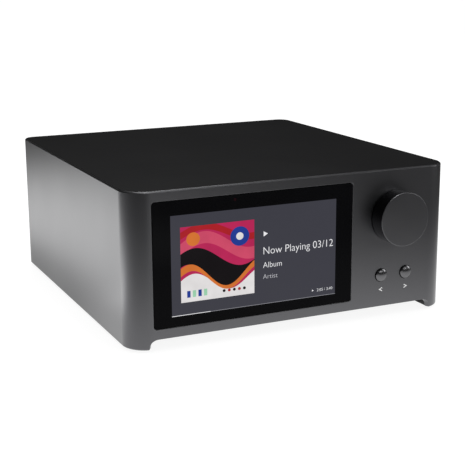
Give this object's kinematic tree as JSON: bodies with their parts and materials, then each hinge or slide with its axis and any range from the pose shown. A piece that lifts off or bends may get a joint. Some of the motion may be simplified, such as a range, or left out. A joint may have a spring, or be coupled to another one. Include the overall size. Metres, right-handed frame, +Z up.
{
  "type": "streaming amplifier",
  "caption": "Free-standing streaming amplifier with a wide front display, a turning and pressing volume knob, two small buttons and a rear panel of sockets.",
  "frame": {"origin": "on the shelf, under the middle of the whole object's box", "axes": "+X to the viewer's right, +Y from the front to the back, +Z up"},
  "size_m": [0.218, 0.266, 0.096],
  "materials": {
    "anodised_case": "dark anodised, fine satin",
    "black_top": "gloss black",
    "dark_button": "dark anodised, polished",
    "black_steel": "fine black powder coat",
    "foot_rubber": "matte",
    "display_glass": "black backed glass",
    "display_panel": "dark panel",
    "sheet_steel": "plated sheet",
    "ribbon": "flat cable",
    "black_plastic": "moulded",
    "led_lens": "clear",
    "plated_metal": "nickel plated",
    "brass": "gold flashed",
    "encoder_plunger": "moulded",
    "cap_red": "moulded",
    "cap_black": "moulded",
    "shutter": "moulded",
    "rocker": "moulded",
    "circuit_board": "solder mask",
    "capacitor_can": "sleeved",
    "coil": "ferrite",
    "heat_sink": "extruded",
    "shield": "tinned"
  },
  "bodies": {
    "case": {"case_shell": "anodised_case", "top_panel": "black_top", "base_pan": "black_steel", "rear_panel": "black_steel", "rubber_feet": "foot_rubber", "display_glass": "display_glass", "display_panel": "display_panel", "display_bracket": "sheet_steel", "backlight_tray": "sheet_steel", "hdmi_socket": "sheet_steel", "usb_socket": "sheet_steel", "display_ribbon": "ribbon", "insulation_sheet": "ribbon", "infrared_receiver": "black_plastic", "encoder_body": "black_plastic", "button_guide": "black_plastic", "button_switches": "black_plastic", "phono_housings": "black_plastic", "terminal_plate": "black_plastic", "optical_input": "black_plastic", "base_rails": "black_plastic", "network_socket": "black_plastic", "mini_jacks": "black_plastic", "mains_inlet": "black_plastic", "power_switch_frame": "black_plastic", "mains_leads": "black_plastic", "standby_light": "led_lens", "encoder_nut": "plated_metal", "mains_inlet_pins": "plated_metal", "screws": "plated_metal", "standoffs": "brass", "phono_sleeves": "brass", "terminal_studs": "brass", "terminal_links": "brass", "front_boards": "circuit_board", "power_supply_board": "circuit_board", "amplifier_board": "circuit_board", "main_board": "circuit_board", "radio_antennas": "circuit_board", "capacitors": "capacitor_can", "coils": "coil", "transformer": "coil", "heat_sinks": "heat_sink", "streaming_module": "shield"},
    "knob_push_body": {"encoder_plunger": "encoder_plunger"},
    "volume_knob_body": {"volume_knob": "anodised_case", "encoder_shaft": "plated_metal"},
    "button_previous_body": {"button_previous": "dark_button"},
    "button_next_body": {"button_next": "dark_button"},
    "power_rocker_body": {"power_rocker": "rocker"},
    "optical_shutter_body": {"optical_shutter": "shutter"},
    "clamp_ring_1_body": {"clamp_ring_1": "brass"},
    "terminal_cap_1_body": {"terminal_cap_1": "cap_red"},
    "clamp_ring_2_body": {"clamp_ring_2": "brass"},
    "terminal_cap_2_body": {"terminal_cap_2": "cap_black"},
    "clamp_ring_3_body": {"clamp_ring_3": "brass"},
    "terminal_cap_3_body": {"terminal_cap_3": "cap_red"},
    "clamp_ring_4_body": {"clamp_ring_4": "brass"},
    "terminal_cap_4_body": {"terminal_cap_4": "cap_black"}
  },
  "joints": [
    {"name": "knob_push", "type": "slide", "parent": "case", "child": "knob_push_body", "axis": [0, 1, 0], "range_m": [0, 0.0005], "stiffness_N_per_m": 1500, "springref_m": -0.001},
    {"name": "volume_turn", "type": "hinge", "parent": "knob_push_body", "child": "volume_knob_body", "pos_m": [0.0685, -0.127, 0.0658], "axis": [0, -1, 0], "continuous": true},
    {"name": "previous_press", "type": "slide", "parent": "case", "child": "button_previous_body", "axis": [0, 1, 0], "range_m": [0, 0.0005], "stiffness_N_per_m": 800, "springref_m": -0.0005},
    {"name": "next_press", "type": "slide", "parent": "case", "child": "button_next_body", "axis": [0, 1, 0], "range_m": [0, 0.0005], "stiffness_N_per_m": 800, "springref_m": -0.0005},
    {"name": "power_rock", "type": "hinge", "parent": "case", "child": "power_rocker_body", "pos_m": [-0.038, 0.1, 0.031], "axis": [-1, 0, 0], "range_deg": [0, 20]},
    {"name": "shutter_swing", "type": "hinge", "parent": "case", "child": "optical_shutter_body", "pos_m": [0.012, 0.1082, 0.0617], "axis": [-1, 0, 0], "range_deg": [0, 80], "stiffness_Nm_per_rad": 0.0005, "springref_deg": -17.19},
    {"name": "clamp_slide_1", "type": "slide", "parent": "case", "child": "clamp_ring_1_body", "axis": [0, 1, 0], "range_m": [0, 0.005]},
    {"name": "cap_turn_1", "type": "hinge", "parent": "clamp_ring_1_body", "child": "terminal_cap_1_body", "pos_m": [0.077, 0.1242, 0.031], "axis": [0, 1, 0], "range_deg": [0, 1800]},
    {"name": "clamp_slide_2", "type": "slide", "parent": "case", "child": "clamp_ring_2_body", "axis": [0, 1, 0], "range_m": [0, 0.005]},
    {"name": "cap_turn_2", "type": "hinge", "parent": "clamp_ring_2_body", "child": "terminal_cap_2_body", "pos_m": [0.058, 0.1242, 0.031], "axis": [0, 1, 0], "range_deg": [0, 1800]},
    {"name": "clamp_slide_3", "type": "slide", "parent": "case", "child": "clamp_ring_3_body", "axis": [0, 1, 0], "range_m": [0, 0.005]},
    {"name": "cap_turn_3", "type": "hinge", "parent": "clamp_ring_3_body", "child": "terminal_cap_3_body", "pos_m": [0.039, 0.1242, 0.031], "axis": [0, 1, 0], "range_deg": [0, 1800]},
    {"name": "clamp_slide_4", "type": "slide", "parent": "case", "child": "clamp_ring_4_body", "axis": [0, 1, 0], "range_m": [0, 0.005]},
    {"name": "cap_turn_4", "type": "hinge", "parent": "clamp_ring_4_body", "child": "terminal_cap_4_body", "pos_m": [0.02, 0.1242, 0.031], "axis": [0, 1, 0], "range_deg": [0, 1800]}
  ],
  "couplings": [
    {"joint": "cap_turn_1", "follows": "clamp_slide_1", "rad_per_m": 6283.2},
    {"joint": "cap_turn_2", "follows": "clamp_slide_2", "rad_per_m": 6283.2},
    {"joint": "cap_turn_3", "follows": "clamp_slide_3", "rad_per_m": 6283.2},
    {"joint": "cap_turn_4", "follows": "clamp_slide_4", "rad_per_m": 6283.2}
  ]
}
